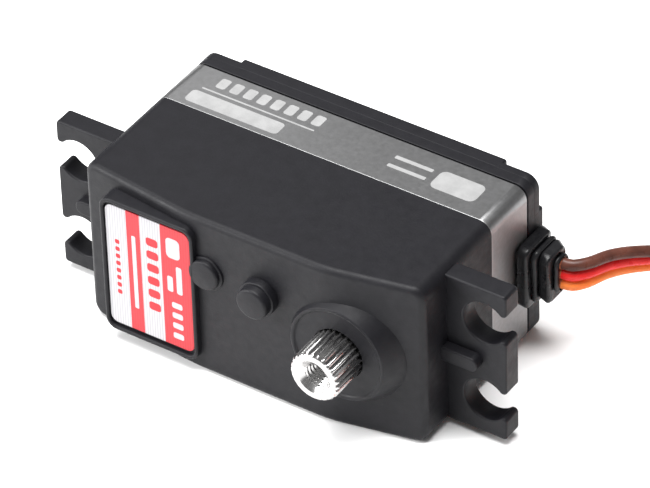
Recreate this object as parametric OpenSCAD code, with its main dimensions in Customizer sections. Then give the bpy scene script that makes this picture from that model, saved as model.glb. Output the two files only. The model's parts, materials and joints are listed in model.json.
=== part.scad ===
/* [Case] */
// Length of the case along X, without the ears
case_len = 41.2; // [41.2:0.1:42]
// Width of the case along Z, which is its height as it lies
case_wid = 20.2; // [20.2:0.1:20.6]
// Radius of the four long corners of the case
corner_r = 1.5; // [1:0.1:1.8]
// Radius of the front edges at the two ends
nose_r = 1; // [0.6:0.1:1.2]
// Thickness of the front casing's side walls
case_wall = 1.3; // [1.2:0.05:1.35]

/* [Mounting ears] */
// Length over both ears
ear_span = 55.2; // [55:0.1:56]
// Width of the ears along Z
ear_wid = 18.8; // [18.4:0.1:19]
// Thickness of the ears
ear_thick = 2.4; // [2:0.1:2.5]
// Distance between the slots of the two ears
slot_span_x = 50; // [49.8:0.1:50.2]
// Distance between the two slots of one ear
slot_span_z = 10.1; // [10:0.05:10.2]
// Radius of a slot
slot_r = 2.5; // [2.4:0.05:2.5]
// Width of a slot's open mouth
slot_mouth = 3.2; // [2.8:0.1:3.2]

/* [Output] */
// Position of the output shaft along X
output_x = 11.7; // [11.6:0.1:11.8]
// Number of splines on the output shaft
spline_count = 25; // [23:1:25]
// Outer radius of the splines
spline_r = 2.93; // [2.85:0.01:2.95]
// How far the shaft stands out from the flat front
shaft_reach = 4.75; // [4.2:0.05:5.5]
// Radius of the threaded hole in the shaft (M3 tap)
shaft_bore_r = 1.25; // [1.2:0.05:1.4]

/* [Gear train] */
// Position of pin A, near the output, along X
pin_a_x = 2.3; // [2.3:0.01:2.31]
// Position of pin B, near the motor, along X
pin_b_x = -4.45; // [-4.46:0.01:-4.45]
// Height of both pins above the base
pin_z = 13.5; // [13.5:0.01:13.51]
// Radius of the gear pins
pin_r = 0.75; // [0.6:0.05:0.8]
// Teeth of each large intermediate gear
big_teeth = 33; // [33:1:33]
// Teeth of each small intermediate gear
small_teeth = 12; // [12:1:12]
// Teeth of the motor's pinion
pinion_teeth = 9; // [9:1:9]
// Teeth of the first large gear
first_teeth = 32; // [32:1:32]
// Teeth of the last small gear
last_teeth = 16; // [16:1:16]
// Teeth of the output gear
output_teeth = 34; // [34:1:34]
// Play at the pitch circle of each tooth
backlash = 0.06; // [0.04:0.01:0.1]

/* [Motor] */
// Radius of the motor's can
motor_r = 8; // [7.8:0.05:8]
// Height of the motor shaft above the base
motor_z = 10.1; // [10.1:0.01:10.11]

/* [Lead] */
// Diameter of one insulated wire
wire_d = 1.3; // [1.1:0.05:1.3]
// Mean radius of the coil's outer turn
coil_r = 22.6; // [22.6:0.1:22.8]
// Number of turns in the coil
coil_turns = 1.5; // [1.5:0.5:2]

/* [Hidden] */
$fn = 64;

// Depths are measured from the flat front face towards the bottom cover, along +Y.
band_front = 14.9;
band_rear = 21.7;
cover_rear = 24.8;
groove = 0.22;
board_front = 22.2;
front_y = -(cover_rear - shaft_reach) / 2;
mid_z = case_wid / 2;
half_len = case_len / 2;

// The front face is flat in the middle and slopes back towards both ends.
slope_x_right = 10.1;
drop_right = 2.2;
slope_x_left = -6.9;
drop_left = 1.75;

// Label frame
frame_x = -11.35;
frame_len = 11.6;
frame_wid = 17.4;
frame_r = 1.3;
frame_front = -0.76;
label_floor = -0.3;
label_len = 10.5;
label_wid = 15.6;
label_thick = 0.16;
label_x = frame_x - 0.03;

// Gear layers, as pairs of depths
layer_1 = [1.7, 2.6];
layer_2 = [2.8, 3.8];
layer_3 = [4.0, 5.0];
layer_4 = [5.2, 6.3];
layer_5 = [6.5, 8.5];
plate_left = [6.7, 7.9];
plate_right = [8.8, 10];
module_motor = 0.3;
module_middle = 0.3;
module_output = 0.4;
running_gap = 0.03;

// Motor position follows from its distance to pin B.
motor_pitch = module_motor * (pinion_teeth + first_teeth) / 2;
motor_x = pin_b_x - sqrt(motor_pitch * motor_pitch - pow(pin_z - motor_z, 2));
motor_front = 7.9;
motor_rear = 20.6;
motor_cap = 19;
magnet_rear = 16.6;
motor_screw_spots = [for (a = [130, 310]) [motor_x + 5 * cos(a), motor_z + 5 * sin(a)]];

// Screws through the whole case
screw_x = 18.4;
screw_z = 2.2;
screw_r = 0.95;
head_r = 1.6;
head_depths = [23.15, 24.05];
pad_size = 4.3;
pad_depth = 24.1;
screw_spots = [for (sx = [-1, 1], sz = [-1, 1]) [sx * screw_x, mid_z + sz * (mid_z - screw_z)]];

// Bearings: [outer radius, inner radius, front depth, rear depth, ball radius, balls]
front_bearing = [5, 3, 0.15, 2.5, 0.6, 11];
rear_bearing = [4, 2.5, 8.8, 10.8, 0.45, 11];

// Lead: each point is [x, y, z, tilt of the ribbon's wide side from upright]
ribbon_wide = 3 * wire_d;
lead_y = 12.6;
lead_exit_x = 24.4;
tails_x = 15.5;
grommet_r = 0.95;
coil_at = [64, 14];
floor_gap = 0.05;
coil_pitch = 1.5;
coil_inner_r = coil_r - coil_turns * coil_pitch;
lead_route = [
    [24.4, 12.6, 10.1, 0], [25.4, 12.8, 10.1, 0], [26.5, 14.1, 10.1, 4], [27.4, 16.4, 9.9, 9],
    [28.5, 18.6, 9.4, 15], [29.8, 20.8, 8.7, 20], [31.4, 23.6, 7.7, 22], [33.6, 27, 6.4, 20],
    [36.6, 30.4, 5, 14], [40.4, 33.4, 3.7, 8], [45, 35.4, 2.7, 3], [50, 36.3, 2.2, 0],
    [55, 36.6, 2, 0], [59.5, 36.6, 2, 0], [64, 36.6, 2, 0]];
tail_route = [
    [64, -6.35, 2, 0], [60.6, -6, 2, 0], [57.4, -4.9, 2, 5], [54.7, -2.9, 1.95, 15],
    [53, 0, 1.85, 30], [52.4, 3.4, 1.7, 48], [53, 6.8, 1.5, 66], [54.8, 9.8, 1.4, 80],
    [57.6, 11.6, 1.35, 90], [61, 12, 1.35, 90]];
plug_at = [61, 12, 1.35];
plug_size = [14, 7.7, 2.6];
pin_pitch = 2.54;

// ---- Shared shapes ----

// A flat plate between two depths; its children are drawn in X and Z.
module plate(d0, d1) {
    translate([0, front_y + d1, 0]) rotate([90, 0, 0]) linear_extrude(d1 - d0) children();
}

module disc(x, z, r, d0, d1) {
    plate(d0, d1) translate([x, z]) circle(r);
}

module washer(x, z, outer, inner, d0, d1) {
    plate(d0, d1) translate([x, z]) difference() {
        circle(outer);
        circle(inner);
    }
}

// A turned shape from [radius, depth] points.
module turned(x, z, points) {
    translate([x, front_y, z]) rotate([90, 0, 0]) rotate_extrude()
        polygon([for (p = points) [p[0], -p[1]]]);
}

// A centred rectangle with round corners.
module soft_rect(l, w, r) {
    square([l - 2 * r, w], center = true);
    square([l, w - 2 * r], center = true);
    for (x = [-1, 1], z = [-1, 1]) translate([x * (l / 2 - r), z * (w / 2 - r)]) circle(r);
}

module case_outline(inset = 0) {
    translate([0, mid_z]) soft_rect(case_len - 2 * inset, case_wid - 2 * inset, corner_r - inset);
}

// The fine groove that shows where two parts of the case meet.
module groove_2d() {
    difference() {
        case_outline(-1);
        case_outline(0.15);
    }
}

// The way out for the grommet's neck.
module grommet_notch_2d() {
    translate([half_len - 1, mid_z]) square([6, 5], center = true);
}

module at_screws() {
    for (s = screw_spots) translate(s) children();
}

module balls(x, z, bearing) {
    ring = (bearing[0] + bearing[1]) / 2;
    for (i = [0 : bearing[5] - 1])
        translate([x + ring * cos(i * 360 / bearing[5]), front_y + (bearing[2] + bearing[3]) / 2,
            z + ring * sin(i * 360 / bearing[5])])
            sphere(bearing[4], $fn = 24);
}

// One race: a ring with a groove for the balls.
module race(x, z, bearing, outer_ring) {
    ring = (bearing[0] + bearing[1]) / 2;
    land = bearing[4] * 0.55;
    translate([x, front_y, z]) rotate([90, 0, 0]) rotate_extrude() difference() {
        translate([outer_ring ? ring + land : bearing[1], -bearing[3]])
            square([(bearing[0] - bearing[1]) / 2 - land, bearing[3] - bearing[2]]);
        translate([ring, -(bearing[2] + bearing[3]) / 2]) circle(bearing[4] + 0.02);
    }
}

// ---- Gears ----

function involute(a) = tan(a) * 180 / PI - a;
// Half the angle that a tooth fills at radius r.
function half_tooth(teeth, mod, r) = let (
        pitch_r = teeth * mod / 2,
        base_r = pitch_r * cos(20),
        at_pitch = 90 / teeth - backlash / pitch_r * 90 / PI)
    at_pitch + involute(20) - involute(acos(min(1, base_r / max(r, base_r))));

module gear_outline(teeth, mod, turn) {
    pitch_r = teeth * mod / 2;
    radii = [pitch_r - 1.15 * mod, pitch_r - 0.35 * mod, pitch_r + 0.25 * mod, pitch_r + 0.85 * mod];
    polygon([for (t = [0 : teeth - 1], side = [-1, 1], k = [0 : 3])
        let (
            r = radii[side < 0 ? k : 3 - k],
            a = turn + t * 360 / teeth + side * half_tooth(teeth, mod, r))
        [r * cos(a), r * sin(a)]]);
}

// Turn of gear 2 so that it meshes with gear 1, whose own turn is 0.
function mesh_turn(teeth_1, teeth_2, toward) =
    toward + 180 - (0.5 - toward * teeth_1 / 360) * 360 / teeth_2;

module compound_gear(x, big, big_turn, big_layer, small, small_mod, small_layer) {
    plate(big_layer[0], big_layer[1]) translate([x, pin_z]) difference() {
        gear_outline(big, module_middle, big_turn);
        circle(pin_r + running_gap);
    }
    plate(big_layer[1], small_layer[1]) translate([x, pin_z]) difference() {
        gear_outline(small, small_mod, 0);
        circle(pin_r + running_gap);
    }
}

// ---- Casing ----

// Seen from above: the front casing's profile in X and depth, with its round front corners.
module top_profile() {
    slope_r = atan(drop_right / (half_len - slope_x_right));
    slope_l = atan(drop_left / (half_len + slope_x_left));
    cx = half_len - nose_r;
    right_d = (cx - slope_x_right) * tan(slope_r) + nose_r / cos(slope_r);
    left_d = (cx + slope_x_left) * tan(slope_l) + nose_r / cos(slope_l);
    polygon([[slope_x_left, 0], [slope_x_right, 0],
        [cx + nose_r * sin(slope_r), right_d - nose_r * cos(slope_r)], [cx, right_d],
        [half_len, right_d], [half_len, band_front], [-half_len, band_front],
        [-half_len, left_d], [-cx, left_d],
        [-cx - nose_r * sin(slope_l), left_d - nose_r * cos(slope_l)]]);
    translate([cx, right_d]) circle(nose_r);
    translate([-cx, left_d]) circle(nose_r);
}

module ear_outline(side) {
    tip = ear_span / 2;
    slot_x = slot_span_x / 2;
    edge = (slot_span_z - slot_mouth) / 2;
    far = slot_span_z / 2 + slot_mouth / 2;
    tip_r = 0.45;
    root_x = half_len - 1;
    scale([side, 1]) translate([0, mid_z]) difference() {
        union() {
            translate([root_x, -ear_wid / 2]) square([slot_x - root_x, ear_wid]);
            translate([(root_x + tip) / 2, 0]) soft_rect(tip - root_x, 2 * edge, tip_r);
            for (z = [-1, 1]) translate([(root_x + tip) / 2, z * (far + ear_wid / 2) / 2])
                soft_rect(tip - root_x, ear_wid / 2 - far, tip_r);
        }
        for (z = [-1, 1]) translate([slot_x, z * slot_span_z / 2]) circle(slot_r);
    }
}

module ears() {
    front = 6.4;
    for (side = [-1, 1]) {
        plate(front, front + ear_thick) ear_outline(side);
        plate(front - 1.2, front) intersection() {
            translate([side * (half_len + 1.35), mid_z]) soft_rect(5.7, 1.7, 0.8);
            translate([side * (half_len + 9), mid_z]) square([19, 4], center = true);
        }
    }
}

module screw_posts_2d() {
    for (s = screw_spots)
        translate([s[0] + sign(s[0]) * 1.2, s[1] + sign(s[1] - mid_z) * 1.2])
            square(5.9, center = true);
}

module top_case() {
    color("#232325") difference() {
        union() {
            intersection() {
                plate(0, band_front) case_outline();
                translate([0, front_y, 0]) linear_extrude(case_wid) top_profile();
            }
            ears();
            plate(frame_front, 3) translate([frame_x, mid_z]) soft_rect(frame_len, frame_wid, frame_r);
            disc(pin_b_x, pin_z, 1.8, frame_front, 2);
            disc(pin_b_x, pin_z, 2.1, -0.25, 2);
            disc(pin_a_x, pin_z, 1.85, -2, 2);
            disc(pin_a_x, pin_z, 2.1, -1, 2);
            turned(output_x, mid_z, [[0, -0.3], [5.15, -0.3], [5.25, -0.5], [5.6, -0.5], [6.95, 1.75],
                [6.95, 3], [0, 3]]);
        }
        // gear room and the way in for the middle case
        difference() {
            intersection() {
                plate(1.4, band_front + 1) case_outline(case_wall);
                translate([0, front_y + 1.4, 0]) linear_extrude(case_wid) polygon([
                    [slope_x_left, 0], [slope_x_right, 0], [half_len, drop_right],
                    [half_len, band_front], [-half_len, band_front], [-half_len, drop_left]]);
            }
            plate(0, band_front) screw_posts_2d();
            disc(output_x, mid_z, 6.1, 1, front_bearing[3]);
        }
        // pocket behind the label frame, over the first gear and the pinion
        plate(0.85, 3) intersection() {
            translate([frame_x, mid_z]) soft_rect(frame_len - 2, frame_wid - 2, 0.6);
            union() {
                translate([pin_b_x, pin_z]) circle(5.3);
                translate([motor_x, motor_z]) circle(2.2);
            }
        }
        plate(frame_front - 1, label_floor) translate([frame_x, mid_z])
            soft_rect(frame_len - 0.9, frame_wid - 1, frame_r - 0.3);
        disc(pin_a_x, pin_z, pin_r, -1.2, 2);
        disc(pin_b_x, pin_z, pin_r, 0, 2);
        disc(output_x, mid_z, front_bearing[0], front_bearing[2], 4);
        disc(output_x, mid_z, 3.3, -1, 1);
        plate(7, band_front + 1) at_screws() circle(screw_r);
        plate(band_front - groove, band_front + 1) groove_2d();
    }
}

module middle_case() {
    room_right = 18;
    room_wid = 14.4;
    color("#c3c6c8") difference() {
        union() {
            plate(band_front, band_rear) case_outline();
            plate(plate_left[0], band_front) difference() {
                translate([-10.35, mid_z]) square([17.5, case_wid - 2 * case_wall - 0.2], center = true);
                screw_posts_2d();
            }
            plate(plate_right[0], band_front) difference() {
                translate([8.7, mid_z]) square([20.8, case_wid - 2 * case_wall - 0.2], center = true);
                screw_posts_2d();
            }
        }
        disc(motor_x, motor_z, motor_r + 0.02, motor_front, band_rear + 1);
        disc(motor_x, motor_z, 2.6, 0, motor_front + 1);
        for (s = motor_screw_spots) disc(s[0], s[1], 0.8, 0, motor_front + 1);
        // room for the potentiometer, the board's parts and the wires
        difference() {
            plate(plate_right[1], band_rear + 1)
                translate([(room_right - 1) / 2, mid_z]) square([room_right + 1, room_wid], center = true);
            disc(motor_x, motor_z, motor_r + 0.8, 0, band_rear + 2);
            disc(output_x, mid_z, 5.2, 9, 11.5);
            plate(plate_right[0], band_rear + 2) screw_posts_2d();
        }
        plate(20.4, band_rear + 1) difference() {
            translate([0, mid_z]) square([2 * room_right, room_wid], center = true);
            screw_posts_2d();
        }
        disc(output_x, mid_z, rear_bearing[0], rear_bearing[2] - 1, rear_bearing[3]);
        disc(output_x, mid_z, 3.2, rear_bearing[2], 12);
        disc(pin_a_x, pin_z, pin_r, 8, 9.7);
        disc(pin_b_x, pin_z, pin_r, 6, 7.7);
        plate(band_front - 1, band_rear + 1) at_screws() circle(screw_r);
        // notch for the grommet
        plate(20.7, band_rear + 1) grommet_notch_2d();
    }
}

module bottom_cover() {
    color("#242426") difference() {
        plate(band_rear, cover_rear) case_outline();
        // raised back with a lower pad at each corner
        plate(pad_depth, cover_rear + 1) for (x = [-1, 1], z = [-1, 1])
            translate([x * (half_len - pad_size / 2 + 1), mid_z + z * (mid_z - pad_size / 2 + 1)])
                soft_rect(pad_size + 2, pad_size + 2, 0.7);
        difference() {
            plate(band_rear - 1, 23.6) case_outline(case_wall);
            plate(band_rear - 1, cover_rear) screw_posts_2d();
        }
        plate(band_rear - 1, cover_rear) at_screws() circle(screw_r);
        plate(head_depths[0], cover_rear) at_screws() circle(head_r + 0.1);
        plate(24.55, cover_rear + 1) translate([0, mid_z]) soft_rect(27, 13, 1.2);
        plate(band_rear - 1, 23.5) grommet_notch_2d();
        plate(band_rear - 1, band_rear + groove) groove_2d();
    }
}

module case_screws() {
    color("#3a3b3e") difference() {
        union() {
            plate(head_depths[0], head_depths[1]) at_screws() circle(head_r);
            plate(8, head_depths[0]) at_screws() circle(screw_r);
        }
        plate(head_depths[1] - 0.6, head_depths[1] + 1) at_screws() circle(0.85, $fn = 6);
    }
}

module name_label() {
    color("#f2f2f4") plate(label_floor - label_thick, label_floor)
        translate([label_x, mid_z]) soft_rect(label_len, label_wid, 0.9);
}

// A rubber block around the lead: [x from, x to, depth from, depth to, half width]
module cable_grommet() {
    lobes = [[18.9, 20.6, 20.7, 23.5, 2.5], [20.6, 22, 19.2, 24.6, 3.9], [22, 22.6, 20.2, 23.9, 2.8],
        [22.6, 24, 20.3, 24.2, 3.1], [24, lead_exit_x, 21.3, 23.9, 2.3]];
    color("#1d1d1f") difference() {
        for (b = lobes) translate([b[0], front_y + (b[2] + b[3]) / 2, mid_z]) rotate([90, 0, 90])
            linear_extrude(b[1] - b[0]) soft_rect(b[3] - b[2], 2 * b[4], grommet_r);
        translate([tails_x, lead_y, mid_z]) rotate([90, 0, 90]) linear_extrude(lead_exit_x)
            soft_rect(wire_d + 0.1, ribbon_wide + 0.1, wire_d / 2);
    }
}

// The three wires side by side, straight along X between two stations.
module ribbon(x0, x1) {
    for (i = [-1, 0, 1]) translate([x0, lead_y, mid_z + i * wire_d]) rotate([0, 90, 0])
        cylinder(r = wire_d / 2, h = x1 - x0);
}

// ---- Output shaft and bearings ----

module spline_outline() {
    root_r = spline_r - 0.24;
    step = 360 / spline_count;
    polygon([for (i = [0 : spline_count - 1], p = [[-0.3, root_r], [-0.12, spline_r], [0.12, spline_r],
        [0.3, root_r]]) let (a = (i + p[0]) * step) [p[1] * cos(a), p[1] * sin(a)]]);
}

module output_gear() {
    color("#d9dadb") difference() {
        union() {
            intersection() {
                plate(-shaft_reach, front_bearing[2]) translate([output_x, mid_z]) spline_outline();
                turned(output_x, mid_z, [[0, -shaft_reach], [spline_r - 0.3, -shaft_reach],
                    [spline_r + 0.1, -shaft_reach + 0.4], [spline_r + 0.1, 1], [0, 1]]);
            }
            disc(output_x, mid_z, 3, front_bearing[2], layer_5[0]);
            disc(output_x, mid_z, 3.6, front_bearing[3], layer_5[0]);
            plate(layer_5[0], layer_5[1]) translate([output_x, mid_z])
                gear_outline(output_teeth, module_output, mesh_turn(last_teeth, output_teeth,
                    atan2(mid_z - pin_z, output_x - pin_a_x)));
            disc(output_x, mid_z, 2.9, layer_5[1], rear_bearing[2]);
            disc(output_x, mid_z, 2.5, layer_5[1], 11.2);
        }
        turned(output_x, mid_z, [[0, -shaft_reach - 1], [2, -shaft_reach - 1], [2, -shaft_reach],
            [shaft_bore_r, -shaft_reach + 0.75], [shaft_bore_r, 3.5], [0, 4.1]]);
        // flat-sided socket for the potentiometer's shaft
        plate(9, 12) translate([output_x, mid_z]) difference() {
            circle(1.55);
            translate([1, -2]) square(4);
        }
    }
}

module front_bearing_outer() {
    color("#b9bbbd") race(output_x, mid_z, front_bearing, true);
}

module front_bearing_balls() {
    color("#e4e4e4") balls(output_x, mid_z, front_bearing);
}

module front_bearing_inner() {
    color("#b9bbbd") race(output_x, mid_z, front_bearing, false);
}

module rear_bearing_outer() {
    color("#b9bbbd") race(output_x, mid_z, rear_bearing, true);
}

module rear_bearing_balls() {
    color("#e4e4e4") balls(output_x, mid_z, rear_bearing);
}

module rear_bearing_inner() {
    color("#b9bbbd") race(output_x, mid_z, rear_bearing, false);
}

module gear_pin_a() {
    color("#cfd0d2") disc(pin_a_x, pin_z, pin_r, -1.2, 9.7);
}

module gear_pin_b() {
    color("#cfd0d2") disc(pin_b_x, pin_z, pin_r, 0, 7.7);
}

module first_gear() {
    color("#c9a64a") compound_gear(pin_b_x, first_teeth, mesh_turn(pinion_teeth, first_teeth,
        atan2(pin_z - motor_z, pin_b_x - motor_x)), layer_1, small_teeth, module_middle, layer_2);
}

module second_gear() {
    color("#c9a64a") compound_gear(pin_a_x, big_teeth, mesh_turn(small_teeth, big_teeth, 0), layer_2,
        small_teeth, module_middle, layer_3);
}

module third_gear() {
    color("#b8bbbf") compound_gear(pin_b_x, big_teeth, mesh_turn(small_teeth, big_teeth, 180), layer_3,
        small_teeth, module_middle, layer_4);
}

module fourth_gear() {
    color("#b8bbbf") compound_gear(pin_a_x, big_teeth, mesh_turn(small_teeth, big_teeth, 0), layer_4,
        last_teeth, module_output, layer_5);
}

// ---- Motor ----

module motor_pinion() {
    color("#c9a64a") plate(layer_1[0] - 0.1, layer_1[1] + 0.6) translate([motor_x, motor_z]) difference() {
        gear_outline(pinion_teeth, module_motor, 0);
        circle(0.5);
    }
}

module motor_can() {
    color("#a9acaf") {
        difference() {
            union() {
                disc(motor_x, motor_z, motor_r, motor_front, motor_cap);
                disc(motor_x, motor_z, 2.5, motor_front - 1, motor_front);
            }
            disc(motor_x, motor_z, motor_r - 0.7, motor_front + 1, motor_rear);
            disc(motor_x, motor_z, 1.5, 0, motor_rear);
            for (s = motor_screw_spots) disc(s[0], s[1], 0.78, 0, motor_front + 2);
        }
        // tube that carries the magnet
        washer(motor_x, motor_z, 2, 1.5, motor_front + 1, magnet_rear);
    }
}

module motor_magnet() {
    color("#55585c") washer(motor_x, motor_z, 5.2, 2, motor_front + 1.6, magnet_rear);
}

module motor_winding() {
    color("#b5652d") difference() {
        disc(motor_x, motor_z, 6.6, motor_front + 1.8, motor_cap - 1);
        disc(motor_x, motor_z, 5.6, motor_front, motor_cap - 1.8);
        disc(motor_x, motor_z, 0.5, motor_front, motor_rear);
    }
}

module motor_shaft() {
    color("#d4d5d6") disc(motor_x, motor_z, 0.5, layer_1[0] - 0.2, motor_rear - 0.4);
}

module motor_commutator() {
    color("#c98d4b") washer(motor_x, motor_z, 1.1, 0.5, motor_cap - 0.9, motor_cap + 0.6);
}

module motor_bushes() {
    color("#b08d57") {
        washer(motor_x, motor_z, 1.5, 0.53, motor_front - 1, motor_front + 0.9);
        washer(motor_x, motor_z, 1.2, 0.53, motor_rear - 0.8, motor_rear);
    }
}

// Two slots or blades, above and below the motor's axis.
module terminals_2d(z, size) {
    for (side = [-1, 1]) translate([motor_x, motor_z + side * z]) square(size, center = true);
}

module motor_end_cap() {
    color("#2d2e30") difference() {
        union() {
            disc(motor_x, motor_z, motor_r, motor_cap, motor_rear);
            washer(motor_x, motor_z, motor_r - 0.7, motor_r - 1.2, motor_cap - 0.6, motor_cap);
        }
        disc(motor_x, motor_z, 5, 0, motor_rear - 0.8);
        disc(motor_x, motor_z, 1.2, 0, motor_rear + 1);
        plate(motor_cap - 1, motor_rear + 1) terminals_2d(4.2, [1.6, 0.4]);
    }
}

module motor_brushes() {
    color("#c7a45c") plate(motor_cap - 0.6, motor_cap + 0.4) terminals_2d(2.6, [0.7, 2.8]);
}

module motor_terminals() {
    color("#caa24f") plate(motor_cap - 0.6, board_front) terminals_2d(4.2, [1.6, 0.4]);
}

module motor_screws() {
    color("#3a3b3e") for (s = motor_screw_spots) {
        disc(s[0], s[1], 0.78, plate_left[0], motor_front + 0.95);
        disc(s[0], s[1], 1.3, plate_left[0] - 0.7, plate_left[0]);
    }
}

// ---- Electronics ----

module potentiometer_body() {
    color("#2f5a8c") difference() {
        union() {
            disc(output_x, mid_z, 4.6, 13, 17);
            disc(output_x, mid_z, 2.4, 12.2, 13);
        }
        disc(output_x, mid_z, 1.55, 12, 15.9);
    }
    color("#caa24f") for (x = [-2.5, 0, 2.5]) plate(17, board_front)
        translate([output_x + x, mid_z - 2]) square([0.8, 0.4], center = true);
}

module potentiometer_shaft() {
    color("#e8e6df") {
        plate(9.3, 12) translate([output_x, mid_z]) difference() {
            circle(1.5);
            translate([0.95, -2]) square(4);
        }
        disc(output_x, mid_z, 1.5, 12, 15.8);
    }
}

module circuit_board() {
    color("#1f6b3a") plate(board_front, board_front + 0.7) difference() {
        translate([-0.6, mid_z]) square([35.6, 12.1], center = true);
        translate([17, mid_z]) square([3, 6], center = true);
    }
}

module control_chip() {
    color("#1b1b1d") plate(board_front - 1, board_front)
        translate([2.2, mid_z - 1]) square([4.8, 4.8], center = true);
}

module power_transistors() {
    color("#202022") for (z = [-1, 1]) plate(board_front - 0.9, board_front)
        translate([7.4, mid_z + z * 4.2]) square([4.6, 3.2], center = true);
}

module board_capacitors() {
    color("#b9905a") for (x = [-0.6, 0.9, 2.4, 3.9]) plate(board_front - 0.7, board_front)
        translate([x, mid_z + 3.6]) square([0.9, 1.6], center = true);
}

// ---- Lead, coil and connector ----

function unit(v) = v / norm(v);
function along(route, i) = let (
        a = route[max(0, i - 1)],
        b = route[min(len(route) - 1, i + 1)])
    unit([b[0] - a[0], b[1] - a[1], b[2] - a[2]]);
// A ribbon ring: eight corners of a flat section, wide side tilted from upright.
function ring(route, i, forward) = let (
        side = unit(cross(forward, [0, 0, 1])),
        up = cross(side, forward),
        tilt = route[i][3],
        wide = up * cos(tilt) + side * sin(tilt),
        thin = side * cos(tilt) - up * sin(tilt),
        w = ribbon_wide / 2,
        t = wire_d / 2,
        c = 0.3)
    [for (p = [[t, w - c], [t - c, w], [c - t, w], [-t, w - c], [-t, c - w], [c - t, -w], [t - c, -w],
        [t, c - w]]) [route[i][0], route[i][1], route[i][2]] + thin * p[0] + wide * p[1]];

module swept_ribbon(route, first_forward, last_forward) {
    n = len(route);
    sides = 8;
    rings = [for (i = [0 : n - 1]) ring(route, i,
        i == 0 ? first_forward : i == n - 1 ? last_forward : along(route, i))];
    polyhedron(
        points = [for (r = rings, p = r) p],
        faces = concat(
            [[for (k = [sides - 1 : -1 : 0]) k]],
            [for (i = [0 : n - 2], k = [0 : sides - 1]) let (a = i * sides, next = (k + 1) % sides)
                each [[a + k, a + next, a + sides + k], [a + next, a + sides + next, a + sides + k]]],
            [[for (k = [0 : sides - 1]) (n - 1) * sides + k]]));
}

module lead_tails() {
    color("#b5452c") ribbon(tails_x, lead_exit_x);
}

module servo_lead() {
    color("#b5452c") swept_ribbon(lead_route, [1, 0, 0], [1, 0, 0]);
}

module lead_coil() {
    color("#b5452c") translate([coil_at[0], coil_at[1], floor_gap]) rotate_extrude()
        translate([coil_inner_r - wire_d / 2, 0]) square([coil_r - coil_inner_r + wire_d, ribbon_wide]);
}

module lead_end() {
    color("#b5452c") swept_ribbon(tail_route, [-1, 0, 0], [1, 0, 0]);
}

module coil_tie() {
    mid_r = (coil_r + coil_inner_r) / 2;
    thick = coil_r - coil_inner_r + wire_d + 0.3;
    color("#2a2a2c") translate([coil_at[0] + mid_r, coil_at[1], 0]) difference() {
        translate([-thick / 2 - 0.5, -1.5, 0]) cube([thick + 1, 3, ribbon_wide + 0.6]);
        translate([-thick / 2, -2, -1]) cube([thick, 4, ribbon_wide + 1 + floor_gap]);
    }
}

module connector_housing() {
    color("#222224") translate(plug_at) difference() {
        translate([0, -plug_size[1] / 2, -plug_size[2] / 2]) cube(plug_size);
        for (i = [-1, 0, 1]) {
            translate([-1, i * pin_pitch - 0.85, -0.75]) cube([12.5, 1.7, 1.5]);
            translate([10, i * pin_pitch - 0.4, -0.4]) cube([6, 0.8, 0.8]);
        }
    }
}

module connector_contacts() {
    color("#d0ab50") translate(plug_at) for (i = [-1, 0, 1]) translate([3, i * pin_pitch, 0]) difference() {
        translate([0, -0.75, -0.75]) cube([7.6, 1.5, 1.5]);
        translate([2, -0.4, -0.4]) cube([7, 0.8, 0.8]);
    }
}

top_case();
middle_case();
bottom_cover();
case_screws();
name_label();
cable_grommet();
output_gear();
front_bearing_outer();
front_bearing_balls();
front_bearing_inner();
rear_bearing_outer();
rear_bearing_balls();
rear_bearing_inner();
gear_pin_a();
gear_pin_b();
first_gear();
second_gear();
third_gear();
fourth_gear();
motor_pinion();
motor_can();
motor_magnet();
motor_winding();
motor_shaft();
motor_commutator();
motor_bushes();
motor_end_cap();
motor_brushes();
motor_terminals();
motor_screws();
potentiometer_body();
potentiometer_shaft();
circuit_board();
control_chip();
power_transistors();
board_capacitors();
lead_tails();
servo_lead();
lead_coil();
lead_end();
coil_tie();
connector_housing();
connector_contacts();
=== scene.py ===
import json
import math
import bpy
import bmesh
from mathutils import Matrix, Vector


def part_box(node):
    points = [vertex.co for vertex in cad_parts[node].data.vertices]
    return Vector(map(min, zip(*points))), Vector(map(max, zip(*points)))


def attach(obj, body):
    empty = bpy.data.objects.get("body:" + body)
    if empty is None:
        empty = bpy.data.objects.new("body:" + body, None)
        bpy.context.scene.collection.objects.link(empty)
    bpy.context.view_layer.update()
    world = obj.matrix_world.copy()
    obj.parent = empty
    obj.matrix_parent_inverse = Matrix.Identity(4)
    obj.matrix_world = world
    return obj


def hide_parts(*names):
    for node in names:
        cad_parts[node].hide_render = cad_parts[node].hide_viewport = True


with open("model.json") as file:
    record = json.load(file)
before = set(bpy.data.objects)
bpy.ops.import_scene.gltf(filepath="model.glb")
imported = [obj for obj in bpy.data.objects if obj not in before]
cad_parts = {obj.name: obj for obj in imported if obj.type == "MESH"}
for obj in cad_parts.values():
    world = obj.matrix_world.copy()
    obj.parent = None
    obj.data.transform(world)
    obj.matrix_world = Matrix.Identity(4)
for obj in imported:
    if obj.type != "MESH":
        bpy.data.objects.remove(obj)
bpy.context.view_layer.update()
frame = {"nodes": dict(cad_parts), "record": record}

# Lengths below are in millimetres, and become metres when a mesh is finished.
MM = 0.001
nodes = frame["nodes"]


def mm_box(node):
    """The low and high corners of a node's box, in millimetres."""
    low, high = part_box(node)
    return [v / MM for v in low], [v / MM for v in high]


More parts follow.
